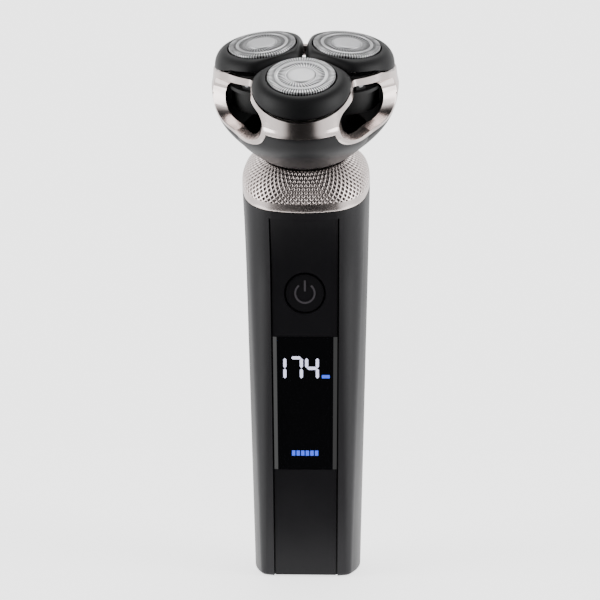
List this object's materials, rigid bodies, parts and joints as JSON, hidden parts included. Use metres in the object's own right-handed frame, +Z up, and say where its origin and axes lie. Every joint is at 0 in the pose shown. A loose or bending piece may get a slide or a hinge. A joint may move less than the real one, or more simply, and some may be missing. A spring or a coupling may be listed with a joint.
{
  "type": "rotary electric shaver",
  "caption": "Cordless rotary shaver: slim bent handle with display strip and round button, knurled collar, and a windowed triangular head with rocking round foils.",
  "frame": {"origin": "centre of the flat base of the handle", "axes": "+Z up the handle, -Y the front with the display, +X to the right seen from the front"},
  "size_m": [0.0604, 0.0704, 0.1785],
  "materials": {
    "soft_black": "soft-touch matte",
    "strip_black": "fine matte",
    "lens": "polished",
    "champagne": "satin metallic lacquer",
    "foil_steel": "fine brushed",
    "dark_plastic": "matte",
    "grey_plastic": "matte",
    "board_green": "lacquered",
    "cell_wrap": "shrink film",
    "steel": "plain",
    "brass": "plain",
    "seal_rubber": "matte",
    "light_digits": "lit",
    "gear_plastic": "moulded"
  },
  "bodies": {
    "handle": {"handle_shell": "soft_black", "front_panel": "strip_black", "button_ring": "champagne", "display_lens": "lens", "display_module": "dark_plastic", "display_digits": "light_digits", "base_cap": "dark_plastic", "base_seal": "seal_rubber", "base_screws": "steel", "charging_socket": "steel", "charge_board": "board_green", "main_board": "board_green", "tact_switch": "steel", "inner_chassis": "grey_plastic", "battery_cell": "cell_wrap", "battery_tabs": "brass", "motor_can": "steel", "motor_end_cap": "dark_plastic", "motor_mount": "grey_plastic", "mount_screws": "steel", "knurled_ring": "champagne", "neck_collar": "dark_plastic", "neck_seal": "seal_rubber", "latch_magnet": "steel"},
    "power_button": {"power_button": "strip_black"},
    "motor_rotor": {"motor_shaft": "steel", "drive_coupler": "gear_plastic"},
    "head": {"bowl_shell": "strip_black", "trim_frame": "champagne", "gear_housing": "dark_plastic", "pod_deck": "dark_plastic", "deck_screws": "steel"},
    "centre_gear": {"centre_gear": "gear_plastic"},
    "satellite_1": {"satellite_gear_1": "gear_plastic", "drive_spindle_1": "gear_plastic", "spindle_spring_1": "steel"},
    "pod_1": {"pod_1": "strip_black", "pod_pins_1": "steel", "retaining_ring_1": "dark_plastic"},
    "foil_1": {"foil_1": "foil_steel", "foil_cap_1": "foil_steel"},
    "cutter_1": {"cutter_1": "foil_steel"},
    "satellite_2": {"satellite_gear_2": "gear_plastic", "drive_spindle_2": "gear_plastic", "spindle_spring_2": "steel"},
    "pod_2": {"pod_2": "strip_black", "pod_pins_2": "steel", "retaining_ring_2": "dark_plastic"},
    "foil_2": {"foil_2": "foil_steel", "foil_cap_2": "foil_steel"},
    "cutter_2": {"cutter_2": "foil_steel"},
    "satellite_3": {"satellite_gear_3": "gear_plastic", "drive_spindle_3": "gear_plastic", "spindle_spring_3": "steel"},
    "pod_3": {"pod_3": "strip_black", "pod_pins_3": "steel", "retaining_ring_3": "dark_plastic"},
    "foil_3": {"foil_3": "foil_steel", "foil_cap_3": "foil_steel"},
    "cutter_3": {"cutter_3": "foil_steel"}
  },
  "joints": [
    {"name": "power_button_press", "type": "slide", "parent": "handle", "child": "power_button", "axis": [0, 1, 0], "range_m": [0, 0.0004], "stiffness_N_per_m": 400},
    {"name": "motor_spin", "type": "hinge", "parent": "handle", "child": "motor_rotor", "pos_m": [0, -0.00626, 0.12892], "axis": [0, -0.3746, 0.9272], "continuous": true},
    {"name": "head_release", "type": "slide", "parent": "handle", "child": "head", "axis": [0, -0.3746, 0.9272], "range_m": [0, 0.012]},
    {"name": "centre_gear_spin", "type": "hinge", "parent": "head", "child": "centre_gear", "pos_m": [0, -0.00626, 0.12892], "axis": [0, -0.3746, 0.9272], "continuous": true},
    {"name": "satellite_1_spin", "type": "hinge", "parent": "head", "child": "satellite_1", "pos_m": [0, -0.03141, 0.15111], "axis": [0, -0.3746, 0.9272], "continuous": true},
    {"name": "pod_1_tilt", "type": "hinge", "parent": "head", "child": "pod_1", "pos_m": [0, -0.03356, 0.15732], "axis": [1, 0, 0], "range_deg": [-2.2, 2.2], "stiffness_Nm_per_rad": 0.2},
    {"name": "foil_1_float", "type": "slide", "parent": "pod_1", "child": "foil_1", "axis": [0, -0.4726, 0.8813], "range_m": [-0.0008, 0], "stiffness_N_per_m": 1000},
    {"name": "cutter_1_spin", "type": "hinge", "parent": "foil_1", "child": "cutter_1", "pos_m": [0, -0.03828, 0.16613], "axis": [0, -0.4726, 0.8813], "continuous": true},
    {"name": "satellite_2_spin", "type": "hinge", "parent": "head", "child": "satellite_2", "pos_m": [0.01299, -0.01055, 0.15954], "axis": [0, -0.3746, 0.9272], "continuous": true},
    {"name": "pod_2_tilt", "type": "hinge", "parent": "head", "child": "pod_2", "pos_m": [0.0127, -0.01316, 0.16556], "axis": [-0.5, 0.803, 0.3244], "range_deg": [-2.2, 2.2], "stiffness_Nm_per_rad": 0.2},
    {"name": "foil_2_float", "type": "slide", "parent": "pod_2", "child": "foil_2", "axis": [0.0935, -0.3223, 0.942], "range_m": [-0.0008, 0], "stiffness_N_per_m": 1000},
    {"name": "cutter_2_spin", "type": "hinge", "parent": "foil_2", "child": "cutter_2", "pos_m": [0.01364, -0.01638, 0.17498], "axis": [0.0935, -0.3223, 0.942], "continuous": true},
    {"name": "satellite_3_spin", "type": "hinge", "parent": "head", "child": "satellite_3", "pos_m": [-0.01299, -0.01055, 0.15954], "axis": [0, -0.3746, 0.9272], "continuous": true},
    {"name": "pod_3_tilt", "type": "hinge", "parent": "head", "child": "pod_3", "pos_m": [-0.0127, -0.01316, 0.16556], "axis": [-0.5, -0.803, -0.3244], "range_deg": [-2.2, 2.2], "stiffness_Nm_per_rad": 0.2},
    {"name": "foil_3_float", "type": "slide", "parent": "pod_3", "child": "foil_3", "axis": [-0.0935, -0.3223, 0.942], "range_m": [-0.0008, 0], "stiffness_N_per_m": 1000},
    {"name": "cutter_3_spin", "type": "hinge", "parent": "foil_3", "child": "cutter_3", "pos_m": [-0.01364, -0.01638, 0.17498], "axis": [-0.0935, -0.3223, 0.942], "continuous": true}
  ],
  "couplings": [
    {"joint": "centre_gear_spin", "follows": "motor_spin", "ratio": 1},
    {"joint": "satellite_1_spin", "follows": "motor_spin", "ratio": -0.75},
    {"joint": "cutter_1_spin", "follows": "motor_spin", "ratio": -0.75},
    {"joint": "satellite_2_spin", "follows": "motor_spin", "ratio": -0.75},
    {"joint": "cutter_2_spin", "follows": "motor_spin", "ratio": -0.75},
    {"joint": "satellite_3_spin", "follows": "motor_spin", "ratio": -0.75},
    {"joint": "cutter_3_spin", "follows": "motor_spin", "ratio": -0.75}
  ]
}
